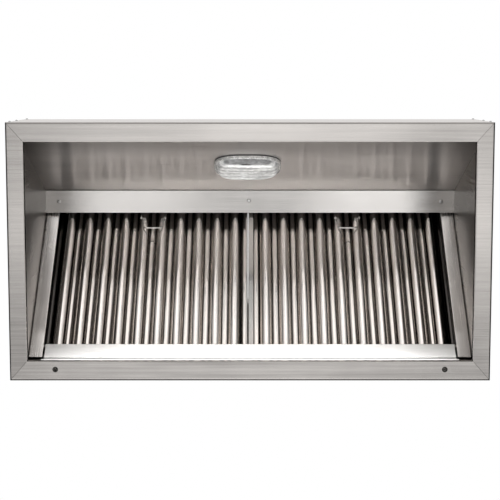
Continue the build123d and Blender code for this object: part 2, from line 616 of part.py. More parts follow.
# Conduit from the lamp pan, up behind the inner front wall and out of the top.
c_y = -57.9                                   # up the wall from the lamp's middle
c_p = -22.0
c_start = LAMP.from_local_coords((0, c_y - 5.0, c_p))
up = -LAMP.y_dir
run = (fy(CONDUIT_F) - c_start.Y) / up.Y
c_bend = c_start + up * run
c_end = Vector(LAMP_X, fy(CONDUIT_F), HEIGHT + 11.0)
bend_angle = math.acos(up.Z)
bend_r = 130.0
tl = bend_r * math.tan(bend_angle / 2.0)
p1 = c_bend - up * tl
p2 = c_bend + Vector(0, 0, tl)
cen = p2 + Vector(0, -bend_r, 0)
md = (c_bend - cen).normalized()
mid = cen + md * bend_r
conduit_path = Wire([Edge.make_line(c_start, p1), Edge.make_three_point_arc(p1, mid, p2), Edge.make_line(p2, c_end)])
c_plane = Plane(origin=c_start, x_dir=(1, 0, 0), z_dir=up)
section = Face(Wire.make_circle(CONDUIT_R, c_plane))
hollow = Face(Wire.make_circle(CONDUIT_R - 1.1, c_plane))
conduit = cut(solid(sweep(section, path=conduit_path)), solid(sweep(hollow, path=conduit_path)))
pan_port = Plane(origin=LAMP.from_local_coords((0, -50.0, c_p)), x_dir=(1, 0, 0), z_dir=up)
pan = cut(pan, cyl(pan_port, 11.1, 20.0))

fit_a = Plane(origin=LAMP.from_local_coords((0, -58.9, c_p)), x_dir=(1, 0, 0), z_dir=up)
connector = cut(cyl(fit_a, 13.4, 26.0), cyl(fit_a, CONDUIT_R + 0.05, 26.0))
connector_hex = cut(hexagon(at(fit_a, 0, 0, 26.0), 29.0, 8.0), cyl(at(fit_a, 0, 0, 26.0), CONDUIT_R + 0.05, 8.0))
fit_b = xy(HEIGHT - T - 24.0)
connector_top = cut(cyl(at(fit_b, LAMP_X, fy(CONDUIT_F)), 13.4, 24.0), cyl(at(fit_b, LAMP_X, fy(CONDUIT_F)), CONDUIT_R + 0.05, 24.0))
fit_c = xy(HEIGHT + 1.65)
locknut = cut(hexagon(at(fit_c, LAMP_X, fy(CONDUIT_F)), 28.0, 4.0), cyl(at(fit_c, LAMP_X, fy(CONDUIT_F)), CONDUIT_R + 0.05, 4.0))

# Junction box on the top sheet.
JX, JF0, JF1, JH, JT = 54.0, 155.0, 221.0, 48.0, 1.6
jbox = box(-JX, JX, fy(JF0), fy(JF1), HEIGHT, HEIGHT + JH)
jbox = cut(jbox, box(-JX + JT, JX - JT, fy(JF0) + JT, fy(JF1) - JT, HEIGHT + JT, HEIGHT + JH + 1))
jbox = cut(jbox, cyl(at(xy(HEIGHT - 1), LAMP_X, fy(CONDUIT_F)), 11.2, 4.0))
gland_plane = Plane(origin=(JX - JT - 1, fy(196.0), HEIGHT + 25.0), x_dir=(0, 1, 0), z_dir=(1, 0, 0))
jbox = cut(jbox, cyl(gland_plane, 10.3, 6.0))
ears = []
for sx in (-1, 1):
    ear = box(sx * (JX - JT) - 6.0 if sx > 0 else -(JX - JT), sx * (JX - JT) if sx > 0 else -(JX - JT) + 6.0, fy(188.0) - 5.0, fy(188.0) + 5.0, HEIGHT + JH - 3.0, HEIGHT + JH)
    hole = cyl(Plane(origin=(sx * (JX - JT - 3.0), fy(188.0), HEIGHT + JH - 4.0)), 1.75, 6.0)
    jbox = solid(jbox.fuse(ear))
    jbox = cut(jbox, hole)
jcover = box(-JX - 1.0, JX + 1.0, fy(JF0) - 1.0, fy(JF1) + 1.0, HEIGHT + JH, HEIGHT + JH + 1.6)
jcover = solid(jcover.fillet(5.0, [e for e in jcover.edges() if abs(e.length - 1.6) < 0.01]))
jscrews = []
for sx in (-1, 1):
    px = sx * (JX - JT - 3.0)
    jcover = cut(jcover, cyl(Plane(origin=(px, fy(188.0), HEIGHT + JH - 1)), 1.75, 4.0))
    sp = Plane(origin=(px, fy(188.0), HEIGHT + JH + 1.6))
    head = lathe(ring_edges([(0, 0), (3.4, 0), ((3.4, 0.8), (2.6, 1.9), (1.4, 2.3)), (0, 2.3)]), sp)
    jscrews.append(solid(head.fuse(cyl(Plane(origin=(px, fy(188.0), HEIGHT + JH - 8.0)), 1.7, 9.7))))
gland = lathe(ring_edges([(4.0, 0), (10.2, 0), (10.2, 2.8), (14.0, 2.8), (14.0, 8.0), (12.0, 10.0), (12.0, 18.0), ((12.0, 18.0), (10.6, 22.0), (7.0, 23.6)), (4.0, 23.6)]), gland_plane)

# ----------------------------------------------------------- duct collar
cp = at(xy(HEIGHT), 0, fy(COLLAR_F))
collar = lathe(ring_edges([(COLLAR_R - T, T), (COLLAR_R - T, COLLAR_H), (COLLAR_R, COLLAR_H), (COLLAR_R, T)]), cp)
collar_flange = lathe(ring_edges([(COLLAR_R - T, 0), (COLLAR_R - T, T), (COLLAR_R + COLLAR_FLANGE, T), (COLLAR_R + COLLAR_FLANGE, 0)]), cp)
collar_rivets = []
for k in range(12):
    a = math.radians(15 + 30 * k)
    rp = at(cp, (COLLAR_R + 15.0) * math.cos(a), (COLLAR_R + 15.0) * math.sin(a), T)
    collar_rivets.append(lathe(ring_edges([(0, 0), (3.6, 0), ((3.6, 0.4), (2.7, 1.3), (1.4, 1.7)), (0, 1.7)]), rp))

# ------------------------------------------------------- the front corners
# Angles that tie the fascia to the side sheets, and the rivets up each corner:
# the lowest also holds the inner wall's foot, the highest the raked sheet.
corner_angles = []
fascia_rivets = []
for sx in (-1, 1):
    x_out, x_in, x_leg = sx * XI, sx * (XI - 16.0), sx * (XI - T)
    leg_a = box(min(x_out, x_in), max(x_out, x_in), front_y + T, front_y + 2 * T, 108.0, 252.0)
    leg_b = box(min(x_out, x_leg), max(x_out, x_leg), front_y + T, front_y + T + 14.0, 108.0, 252.0)
    angle = solid(leg_a.fuse(leg_b))
    for rz in RIVET_Z:
        face = Plane(origin=(sx * RIVET_X, front_y, rz), x_dir=(1, 0, 0), z_dir=(0, -1, 0))
        head = lathe(ring_edges([(0, 0), (3.1, 0), ((3.1, 0.5), (2.5, 1.9), (1.1, RIVET_HEAD)), (0, RIVET_HEAD)]), face)
        shank = cyl(at(face, 0, 0, -4.6), 1.55, 4.6)
        tail = cyl(at(face, 0, 0, -4.6), 2.1, 2.1)
        fascia_rivets.append(solid(head.fuse(shank).fuse(tail)))
        hole = cyl(at(face, 0, 0, -4.0), 1.6, 5.0)
        fascia = cut(fascia, hole)
        if rz < 60:
            liner = cut(liner, hole)
        elif rz < FASCIA_H - 22.0:
            angle = cut(angle, hole)
        else:
            slope_panel = cut(slope_panel, hole)
    corner_angles.append(angle)

# --------------------------------------------------------- hanger brackets
brackets = []
bolts = []
for sx in (-1, 1):
    for f in HANGER_F:
        cx, cy = sx * HANGER_X, fy(f)
        hat = [(-44.0, 1.25), (-22.0, 1.25), (-22.0, HANGER_H - 1.25), (22.0, HANGER_H - 1.25), (22.0, 1.25), (44.0, 1.25)]
        b = along(strip(hat, 2.5, 2.5), Plane(origin=(cx, cy + 20.0, HEIGHT), x_dir=(1, 0, 0), z_dir=(0, -1, 0)), 40.0)
        b = cut(b, cyl(Plane(origin=(cx, cy, HEIGHT + HANGER_H - 6.0)), HANGER_HOLE_R, 12.0))
        for bx in (-34.0, 34.0):
            b = cut(b, cyl(Plane(origin=(cx + bx, cy, HEIGHT - 1)), 3.1, 6.0))
            top_sheet = cut(top_sheet, cyl(Plane(origin=(cx + bx, cy, HEIGHT - T)), 3.1, T))
            h = hexagon(Plane(origin=(cx + bx, cy, HEIGHT + 2.5)), 10.0, 4.0)
            h = solid(h.fuse(cyl(Plane(origin=(cx + bx, cy, HEIGHT - T - 6.6)), 3.0, 9.2 + T)))
            n = cut(hexagon(Plane(origin=(cx + bx, cy, HEIGHT - T - 5.0)), 10.0, 5.0), cyl(Plane(origin=(cx + bx, cy, HEIGHT - T - 6.0)), 3.05, 7.0))
            bolts += [h, n]
        brackets.append(b)

# ------------------------------------------------------------------- files
save("front_fascia", fascia)
save("fascia_corner_angles", *corner_angles)
save("fascia_rivets", *fascia_rivets)
save("front_slope_panel", slope_panel)
save("top_panel", top_sheet)
save("rear_panel", rear)
save("left_side_panel", left_side)
save("right_side_panel", right_side)
save("front_rim", front_rim)
save("rear_rim", rear_rim)
save("left_rim", left_rim)
save("right_rim", right_rim)
save("front_liner", liner)
save("header_rail", header)
save("header_screws", *header_screws)
save("header_rivet_nuts", *nuts)
save("plenum_front_panel", plenum_front)
save("left_filter_guide", left_guide)
save("right_filter_guide", right_guide)
save("grease_trough", trough)
save("trough_end_caps", *caps)
save("trough_wall_strip", cleat)
save("filter_rest_angle", rest)
save("lamp_gasket", gasket)
save("lamp_ring", ring)
save("lamp_lens", lens)
save("lamp_pan", pan)
save("lamp_socket", socket)
save("lamp_socket_bracket", socket_bracket)
save("lamp_bulb", bulb)
save("lamp_screws", *lamp_screws)
save("lamp_conduit", conduit)
save("conduit_fittings", connector, connector_hex, connector_top, locknut)
save("junction_box", jbox)
save("junction_box_cover", jcover)
save("junction_box_screws", *jscrews)
save("supply_gland", gland)
save("duct_collar", collar)
save("collar_flange", collar_flange)
save("collar_rivets", *collar_rivets)
save("hanger_brackets", *brackets)
save("hanger_bolts", *bolts)

mid_x = FIL_SHIFT
make_filter("left", mid_x - FIL_GAP / 2 - FIL_W)
make_filter("right", mid_x + FIL_GAP / 2)
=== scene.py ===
import math

import bmesh
import bpy
from mathutils import Matrix, Vector

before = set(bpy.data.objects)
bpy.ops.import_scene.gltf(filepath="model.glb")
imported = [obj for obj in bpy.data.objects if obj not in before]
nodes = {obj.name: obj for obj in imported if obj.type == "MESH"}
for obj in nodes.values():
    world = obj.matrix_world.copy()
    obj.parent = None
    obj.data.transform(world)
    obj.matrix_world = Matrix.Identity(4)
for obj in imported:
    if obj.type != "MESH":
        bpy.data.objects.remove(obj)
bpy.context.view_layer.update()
scene = bpy.context.scene

# Everything below is in metres, in the hood's own frame: +X along the width,
# +Y to the wall, +Z up, z = 0 at the underside of the rim.
SHIFT_Y = 0.0013
FRONT_Y = -0.286 + SHIFT_Y
TILT = math.radians(47.47)
DOWN_BANK = (0.0, math.cos(TILT), -math.sin(TILT))      # along the filters, towards the gutter
UP_LINER = (0.0, 0.3387, 0.9409)                        # along the sloping inner front
PITCH = 0.0475                                          # of the baffles
LEFT_X0, RIGHT_X0 = -0.5100, -0.0042                       # left edges of the two filters
LAMP_AT = (-0.006, FRONT_Y + 0.1112, 0.3539)


# ------------------------------------------------------------ node helpers
class Nodes:
    """Short-hand for a material's node tree."""

    def __init__(self, name):
        self.mat = bpy.data.materials.new(name)
        self.mat.use_nodes = True
        self.tree = self.mat.node_tree
        self.tree.nodes.clear()
        self.out = self.new("ShaderNodeOutputMaterial")
        self.bsdf = self.new("ShaderNodeBsdfPrincipled")
        self.link(self.bsdf.outputs[0], self.out.inputs[0])

    def new(self, kind, **props):
        n = self.tree.nodes.new(kind)
        for k, v in props.items():
            setattr(n, k, v)
        return n

    def link(self, a, b):
        self.tree.links.new(a, b)

    def put(self, name, value):
        self.bsdf.inputs[name].default_value = value

    def coords(self):
        return self.new("ShaderNodeTexCoord").outputs["Object"]

    def scaled(self, vec, scale, rot=(0, 0, 0), loc=(0, 0, 0)):
        n = self.new("ShaderNodeMapping")
        n.inputs["Location"].default_value = loc
        n.inputs["Rotation"].default_value = rot
        n.inputs["Scale"].default_value = scale
        self.link(vec, n.inputs["Vector"])
        return n.outputs[0]

    def noise(self, vec, scale=1.0, detail=4.0, rough=0.5, distortion=0.0):
        n = self.new("ShaderNodeTexNoise")
        n.inputs["Scale"].default_value = scale
        n.inputs["Detail"].default_value = detail
        n.inputs["Roughness"].default_value = rough
        n.inputs["Distortion"].default_value = distortion
        self.link(vec, n.inputs["Vector"])
        return n.outputs["Fac"]

    def cells(self, vec, scale, feature="F1", pick="Color"):
        n = self.new("ShaderNodeTexVoronoi", feature=feature)
        n.inputs["Scale"].default_value = scale
        self.link(vec, n.inputs["Vector"])
        return n.outputs[pick]

    def ramp(self, fac, stops):
        n = self.new("ShaderNodeValToRGB")
        el = n.color_ramp.elements
        while len(el) < len(stops):
            el.new(0.5)
        for e, (pos, col) in zip(el, stops):
            e.position = pos
            e.color = (*col, 1) if len(col) == 3 else col
        self.link(fac, n.inputs["Fac"])
        return n.outputs["Color"]

    def span(self, fac, lo, hi, from_lo=0.0, from_hi=1.0):
        n = self.new("ShaderNodeMapRange")
        n.clamp = True
        n.inputs["From Min"].default_value = from_lo
        n.inputs["From Max"].default_value = from_hi
        n.inputs["To Min"].default_value = lo
        n.inputs["To Max"].default_value = hi
        self.link(fac, n.inputs["Value"])
        return n.outputs[0]

    def math(self, op, a, b=0.0, c=None):
        n = self.new("ShaderNodeMath", operation=op)
        for i, v in enumerate((a, b, c)):
            if v is None:
                continue
            if isinstance(v, (int, float)):
                n.inputs[i].default_value = v
            else:
                self.link(v, n.inputs[i])
        return n.outputs[0]

    def blend(self, *parts):
        """Weighted sum of (weight, value) pairs."""
        total = None
        for w, v in parts:
            term = self.math("MULTIPLY", v, w)
            total = term if total is None else self.math("ADD", total, term)
        return total

    def across(self, grain):
        """The direction in the surface that lies across a grain line."""
        n = self.new("ShaderNodeVectorMath", operation="CROSS_PRODUCT")
        self.link(self.new("ShaderNodeNewGeometry").outputs["Normal"], n.inputs[0])
        n.inputs[1].default_value = grain
        return n.outputs[0]

    def bump(self, height, strength, distance, normal=None):
        n = self.new("ShaderNodeBump")
        n.inputs["Strength"].default_value = strength
        n.inputs["Distance"].default_value = distance
        self.link(height, n.inputs["Height"])
        if normal is not None:
            self.link(normal, n.inputs["Normal"])
        return n.outputs[0]


def stretched(along, fine, coarse):
    """Mapping scale for a grain that runs along one axis."""
    return tuple(coarse if i == along else fine for i in range(3))


AXES = ((1.0, 0.0, 0.0), (0.0, 1.0, 0.0), (0.0, 0.0, 1.0))


def mitre_line(k, raw):
    """0 on the joint between two rim lengths and 1 away from it, and the same
    for painted shade in and round the two fixing holes."""
    place = k.new("ShaderNodeSeparateXYZ")
    k.link(raw, place.inputs[0])
    x = k.math("ABSOLUTE", place.outputs[0])
    y = place.outputs[1]
    across = k.math("DIVIDE", k.math("SUBTRACT", x, 0.4950), 0.0385)
    front = k.math("ABSOLUTE", k.math("SUBTRACT", across, k.math("DIVIDE", k.math("SUBTRACT", -0.2417, y), 0.0430)))
    rear = k.math("ABSOLUTE", k.math("SUBTRACT", across, k.math("DIVIDE", k.math("SUBTRACT", y, 0.2435), 0.0438)))
    off = k.math("ADD", k.math("MINIMUM", front, rear), k.math("LESS_THAN", x, 0.490))
    dx = k.math("SUBTRACT", x, 0.433)
    dy = k.math("SUBTRACT", y, 0.2627)
    hole = k.math("SQRT", k.math("ADD", k.math("MULTIPLY", dx, dx), k.math("MULTIPLY", dy, dy)))
    return k.span(off, 0.0, 1.0, 0.006, 0.020), k.span(hole, 0.02, 1.0, 0.0056, 0.0068)


def brushed(name, grain=0, tone=(0.632, 0.602, 0.578), rough=0.27, spread=0.05, shade=0.07, lines=0.6, wave=0.00010, aniso=0.75, turn=0.0, line=None, seed=0.0, inside=1.0, mitre=False, painted_falloff=False, mix=(0.40, 0.38, 0.22)):
    """Brushed stainless sheet. grain is the axis of the brush lines once the
    pattern has been turned about X by turn; line is the same direction in the
    hood's frame. inside darkens the skin that faces the inside of the canopy
    with painted shade."""
    k = Nodes(name)
    raw = k.coords()
    co = k.scaled(raw, (1, 1, 1), rot=(turn, 0, 0), loc=(seed, seed * 1.7, seed * 0.6))
    hair = k.noise(k.scaled(co, stretched(grain, 1700.0, 9.0)), 1.0, 3.0, 0.6)
    mid = k.noise(k.scaled(co, stretched(grain, 420.0, 4.5)), 1.0, 3.0, 0.6)
    wide = k.noise(k.scaled(co, stretched(grain, 95.0, 1.6)), 1.0, 2.0, 0.5)
    cloud = k.noise(co, 6.5, 4.0, 0.6)
    patch = k.noise(k.scaled(co, stretched(grain, 9.0, 3.0)), 1.0, 3.0, 0.55)
    streaks = k.blend((mix[0], hair), (mix[1], mid), (mix[2], wide))
    lo = tuple(c * (1 - shade) for c in tone)
    hi = tuple(min(1.0, c * (1 + shade)) for c in tone)
    mixed = k.blend((0.70, streaks), (0.16, cloud), (0.14, patch))
    colour = k.ramp(mixed, [(0.38, lo), (0.62, hi)])
    # painted shade: inside below 1 darkens the inner skin of the canopy against its outer skin
    if inside < 1.0:
        place = k.new("ShaderNodeSeparateXYZ")
        k.link(raw, place.inputs[0])
        within = k.math("LESS_THAN", k.math("ABSOLUTE", place.outputs[0]), 0.53285)
        painted_shading = k.math("SUBTRACT", 1.0, k.math("MULTIPLY", within, 1.0 - inside))
        dull = k.new("ShaderNodeVectorMath", operation="SCALE")
        k.link(colour, dull.inputs[0])
        k.link(painted_shading, dull.inputs["Scale"])
        colour = dull.outputs[0]
        k.put("Specular Tint", (0.73, 0.715, 0.70, 1.0))
    if painted_falloff:
        # painted shade low on the front of the liner and painted light above its own tone at the top, with painted
        # shade in its left corner
        place = k.new("ShaderNodeSeparateXYZ")
        k.link(raw, place.inputs[0])
        drift = k.math("MULTIPLY", k.math("SUBTRACT", patch, 0.5), 0.05)
        front = k.ramp(k.span(k.math("ADD", place.outputs[2], drift), 0.0, 1.0, 0.15, 0.40), [(0.0, (0.50, 0.50, 0.50)), (0.28, (0.60, 0.60, 0.60)), (0.62, (0.95, 0.95, 0.95)), (1.0, (1.08, 1.08, 1.08))])
        corner = k.span(k.math("ADD", place.outputs[0], drift), 0.58, 1.0, -0.505, -0.425)
        corner_shaded = k.new("ShaderNodeVectorMath", operation="SCALE")
        k.link(colour, corner_shaded.inputs[0])
        k.link(corner, corner_shaded.inputs["Scale"])
        painted_shading = k.new("ShaderNodeVectorMath", operation="MULTIPLY")
        k.link(corner_shaded.outputs[0], painted_shading.inputs[0])
        k.link(front, painted_shading.inputs[1])
        colour = painted_shading.outputs[0]
    if mitre:
        # the rim joints are darkened, and painted shade darkens the fixing holes
        seam, hole = mitre_line(k, raw)
        dark = k.new("ShaderNodeVectorMath", operation="SCALE")
        k.link(colour, dark.inputs[0])
        k.link(k.math("MULTIPLY", k.span(seam, 0.34, 1.0), hole), dark.inputs["Scale"])
        colour = dark.outputs[0]
    k.link(colour, k.bsdf.inputs["Base Color"])
    worn = k.blend((0.50, streaks), (0.25, cloud), (0.25, patch))
    k.link(k.span(worn, rough - spread, rough + spread, 0.38, 0.62), k.bsdf.inputs["Roughness"])
    soft = k.bump(k.noise(co, 4.2, 2.0, 0.5), 1.0, wave * 10.0)
    k.link(k.bump(streaks, lines, 0.000012, soft), k.bsdf.inputs["Normal"])
    k.put("Metallic", 1.0)
    k.put("Anisotropic", aniso)
    k.link(k.across(line or AXES[grain]), k.bsdf.inputs["Tangent"])
    return k.mat


def rolled(name, first, tone=(0.86, 0.825, 0.80), rough=0.11, spread=0.03, seed=0.0):
    """Bright rolled strip with faint draw marks along its length. Its crowns
    and the bottoms of its channels keep their full tone; painted shade darkens
    the folds between them. first is the X of the first crown."""
    k = Nodes(name)
    raw = k.coords()
    co = k.scaled(raw, (1, 1, 1), rot=(TILT, 0, 0), loc=(seed, seed, seed))
    draw = k.noise(k.scaled(co, (900.0, 5.0, 900.0)), 1.0, 3.0, 0.6)
    band = k.noise(k.scaled(co, (160.0, 2.0, 160.0)), 1.0, 2.0, 0.5)
    smear = k.noise(k.scaled(co, (26.0, 9.0, 26.0)), 1.0, 4.0, 0.6)
    mixed = k.blend((0.45, draw), (0.25, band), (0.30, smear))
    colour = k.ramp(mixed, [(0.38, tuple(c * 0.93 for c in tone)), (0.62, tuple(min(1.0, c * 1.05) for c in tone))])
    place = k.new("ShaderNodeSeparateXYZ")
    k.link(raw, place.inputs[0])
    turn = k.math("FRACT", k.math("DIVIDE", k.math("SUBTRACT", place.outputs[0], first - 10.0 * PITCH - PITCH / 2.0), PITCH))
    off = k.math("ABSOLUTE", k.math("SUBTRACT", turn, 0.5))          # 0 on a crown, 0.5 on a channel
    off = k.math("ADD", off, k.math("MULTIPLY", k.math("SUBTRACT", smear, 0.5), 0.03))
    # painted shade across each baffle: full tone on the crowns, darker on the flanks, near black in the folds, light
    # again in the channel bottoms
    painted_shading = k.ramp(off, [(0.0, (1.0, 1.0, 1.0)), (0.17, (1.0, 1.0, 1.0)), (0.22, (0.86, 0.84, 0.82)), (0.300, (0.72, 0.69, 0.665)), (0.316, (0.10, 0.096, 0.092)),
                        (0.372, (0.07, 0.067, 0.064)), (0.392, (0.86, 0.85, 0.84)), (0.5, (0.93, 0.92, 0.91))])
    # painted shade: the outermost channels of the bank, beside the guides, are darkened nearly to black
    ends = k.math("LESS_THAN", k.math("ABSOLUTE", k.math("SUBTRACT", place.outputs[0], -0.0051)), 0.4738)
    end_shade = k.new("ShaderNodeVectorMath", operation="SCALE")
    k.link(painted_shading, end_shade.inputs[0])
    k.link(k.span(ends, 0.08, 1.0), end_shade.inputs["Scale"])
    dull = k.new("ShaderNodeVectorMath", operation="MULTIPLY")
    k.link(colour, dull.inputs[0])
    k.link(end_shade.outputs[0], dull.inputs[1])
    k.link(dull.outputs[0], k.bsdf.inputs["Base Color"])
    k.link(k.span(k.blend((0.4, draw), (0.6, smear)), rough - spread, rough + spread, 0.36, 0.64), k.bsdf.inputs["Roughness"])
    ripple = k.bump(k.noise(k.scaled(co, (14.0, 7.0, 14.0)), 1.0, 2.0, 0.5), 1.0, 0.0004)
    k.link(k.bump(k.blend((0.6, draw), (0.4, band)), 0.5, 0.000008, ripple), k.bsdf.inputs["Normal"])
    k.put("Metallic", 1.0)
    return k.mat


def satin(name, tone, rough, spread=0.05, scale=180.0, bump=0.00002, shade=0.06, metal=1.0, seed=0.0):
    """Turned, drawn or cast metal with a fine even texture."""
    k = Nodes(name)
    co = k.scaled(k.coords(), (1, 1, 1), loc=(seed, seed, seed))
    fine = k.noise(co, scale * 6.0, 3.0, 0.6)
    mid = k.noise(co, scale, 4.0, 0.6)
    cloud = k.noise(co, scale * 0.12, 4.0, 0.6)
    mixed = k.blend((0.35, fine), (0.35, mid), (0.30, cloud))
    k.link(k.ramp(mixed, [(0.38, tuple(c * (1 - shade) for c in tone)), (0.62, tuple(min(1, c * (1 + shade)) for c in tone))]), k.bsdf.inputs["Base Color"])
    k.link(k.span(mixed, rough - spread, rough + spread, 0.38, 0.62), k.bsdf.inputs["Roughness"])
    k.link(k.bump(k.blend((0.5, fine), (0.5, mid)), 1.0, bump), k.bsdf.inputs["Normal"])
    k.put("Metallic", metal)
    return k.mat


def galvanised(name, seed=0.0):
    """Zinc-coated sheet: flat crystals of different greys, and dull blooms."""
    k = Nodes(name)
    co = k.scaled(k.coords(), (1, 1, 1), loc=(seed, seed, seed))
    warp = k.new("ShaderNodeVectorMath", operation="MULTIPLY_ADD")
    wn = k.new("ShaderNodeTexNoise")
    wn.inputs["Scale"].default_value = 160.0
    k.link(co, wn.inputs["Vector"])
    k.link(wn.outputs["Color"], warp.inputs[0])
    warp.inputs[1].default_value = (0.004, 0.004, 0.004)
    k.link(co, warp.inputs[2])
    shard = k.cells(warp.outputs[0], 135.0)
    grey = k.new("ShaderNodeRGBToBW")
    k.link(shard, grey.inputs[0])
    fern = k.noise(co, 900.0, 3.0, 0.7)
    bloom = k.noise(co, 22.0, 4.0, 0.6)
    mixed = k.blend((0.52, grey.outputs[0]), (0.20, fern), (0.28, bloom))
    k.link(k.ramp(mixed, [(0.30, (0.40, 0.42, 0.44)), (0.52, (0.56, 0.58, 0.60)), (0.72, (0.74, 0.76, 0.78))]), k.bsdf.inputs["Base Color"])
    k.link(k.span(mixed, 0.52, 0.30, 0.30, 0.72), k.bsdf.inputs["Roughness"])
    k.link(k.bump(mixed, 0.5, 0.00006), k.bsdf.inputs["Normal"])
    k.put("Metallic", 0.92)
    return k.mat


def turned(name, tone=(0.66, 0.655, 0.65), rough=0.24, seed=0.0):
    """Bright plated screw and rivet heads with fine rolled marks."""
    k = Nodes(name)
    co = k.scaled(k.coords(), (1, 1, 1), loc=(seed, seed, seed))
    fine = k.noise(co, 2600.0, 2.0, 0.6)
    spots = k.noise(co, 420.0, 4.0, 0.65)
    mixed = k.blend((0.5, fine), (0.5, spots))
    k.link(k.ramp(mixed, [(0.36, tuple(c * 0.86 for c in tone)), (0.64, tuple(c * 1.06 for c in tone))]), k.bsdf.inputs["Base Color"])
    k.link(k.span(mixed, rough + 0.08, rough - 0.05, 0.36, 0.64), k.bsdf.inputs["Roughness"])
    k.link(k.bump(mixed, 0.6, 0.00002), k.bsdf.inputs["Normal"])
    k.put("Metallic", 1.0)
    return k.mat


def moulded(name, tone, rough, scale=900.0, bump=0.00004, shade=0.10, seed=0.0):
    """Rubber, moulded plastic or glazed ceramic."""
    k = Nodes(name)
    co = k.scaled(k.coords(), (1, 1, 1), loc=(seed, seed, seed))
    fine = k.noise(co, scale, 3.0, 0.55)
    cloud = k.noise(co, scale * 0.06, 4.0, 0.6)
    mixed = k.blend((0.45, fine), (0.55, cloud))
    k.link(k.ramp(mixed, [(0.36, tuple(c * (1 - shade) for c in tone)), (0.64, tuple(min(1, c * (1 + shade)) for c in tone))]), k.bsdf.inputs["Base Color"])
    k.link(k.span(mixed, rough - 0.06, rough + 0.06, 0.36, 0.64), k.bsdf.inputs["Roughness"])
    k.link(k.bump(fine, 0.7, bump), k.bsdf.inputs["Normal"])
    return k.mat


def prism_glass(name):
    """The lamp's pressed lens: white-frosted inside, ribbed across, with a
    painted highlight band where its edge turns towards the cook, and a painted glow."""
    k = Nodes(name)
    raw = k.coords()
    off = k.new("ShaderNodeVectorMath", operation="SUBTRACT")
    k.link(raw, off.inputs[0])
    off.inputs[1].default_value = LAMP_AT
    down = k.new("ShaderNodeVectorMath", operation="DOT_PRODUCT")
    k.link(off.outputs[0], down.inputs[0])
    down.inputs[1].default_value = tuple(-c for c in UP_LINER)
    t = down.outputs["Value"]                    # metres from the lamp's middle, towards the cook
    # painted shade at the upper edge, a painted highlight band near the edge towards the cook, and painted shade beyond
    # it
    tone = k.ramp(k.span(t, 0.0, 1.0, -0.080, 0.080), [(0.05, (0.42, 0.42, 0.42)), (0.14, (0.80, 0.80, 0.79)), (0.50, (0.66, 0.66, 0.65)), (0.79, (0.72, 0.72, 0.71)),
                                                       (0.815, (0.98, 0.98, 0.97)), (0.872, (0.98, 0.98, 0.97)), (0.890, (0.52, 0.52, 0.52)), (1.0, (0.50, 0.50, 0.50))])
    ribs = k.math("ADD", 0.5, k.math("MULTIPLY", 0.5, k.math("SINE", k.math("MULTIPLY", t, 2.0 * math.pi / 0.0235))))
    smear = k.noise(k.scaled(raw, (20.0, 62.0, 62.0)), 1.0, 3.0, 0.6)
    spots = k.noise(k.scaled(raw, (90.0, 120.0, 120.0)), 1.0, 4.0, 0.65)
    mark = k.blend((0.07, ribs), (0.50, smear), (0.43, spots))
    shade = k.span(mark, 0.55, 1.16, 0.42, 0.60)
    # painted shade in a mottled margin where the dome comes down to its seat, and the socket's painted shadow
    side = k.new("ShaderNodeSeparateXYZ")
    k.link(off.outputs[0], side.inputs[0])
    x = k.math("ABSOLUTE", side.outputs[0])
    size = k.math("POWER", k.math("ADD", k.math("POWER", x, 3.0), k.math("POWER", k.math("ABSOLUTE", t), 3.0)), 1.0 / 3.0)
    margin = k.math("ADD", size, k.math("MULTIPLY", k.math("SUBTRACT", spots, 0.5), 0.006))
    shade = k.math("MULTIPLY", shade, k.span(margin, 1.0, 0.62, 0.0655, 0.0695))
    dx = k.math("DIVIDE", k.math("ADD", side.outputs[0], 0.004), 0.0135)
    dt = k.math("DIVIDE", k.math("SUBTRACT", t, 0.0660), 0.0028)
    spot = k.math("ADD", k.math("MULTIPLY", dx, dx), k.math("MULTIPLY", dt, dt))
    shade = k.math("MULTIPLY", shade, k.span(spot, 0.22, 1.0, 0.5, 1.4))
    lit = k.new("ShaderNodeVectorMath", operation="SCALE")
    k.link(tone, lit.inputs[0])
    k.link(shade, lit.inputs["Scale"])
    k.link(lit.outputs[0], k.bsdf.inputs["Base Color"])
    # painted glow: the lens emits its own shaded colour, though the bulb gives no light
    k.link(lit.outputs[0], k.bsdf.inputs["Emission Color"])
    k.put("Emission Strength", 0.42)
    k.link(k.span(spots, 0.10, 0.24, 0.38, 0.62), k.bsdf.inputs["Roughness"])
    k.link(k.bump(k.blend((0.35, ribs), (0.65, smear)), 1.0, 0.0006), k.bsdf.inputs["Normal"])
    k.put("Transmission Weight", 0.35)
    k.put("IOR", 1.5)
    return k.mat


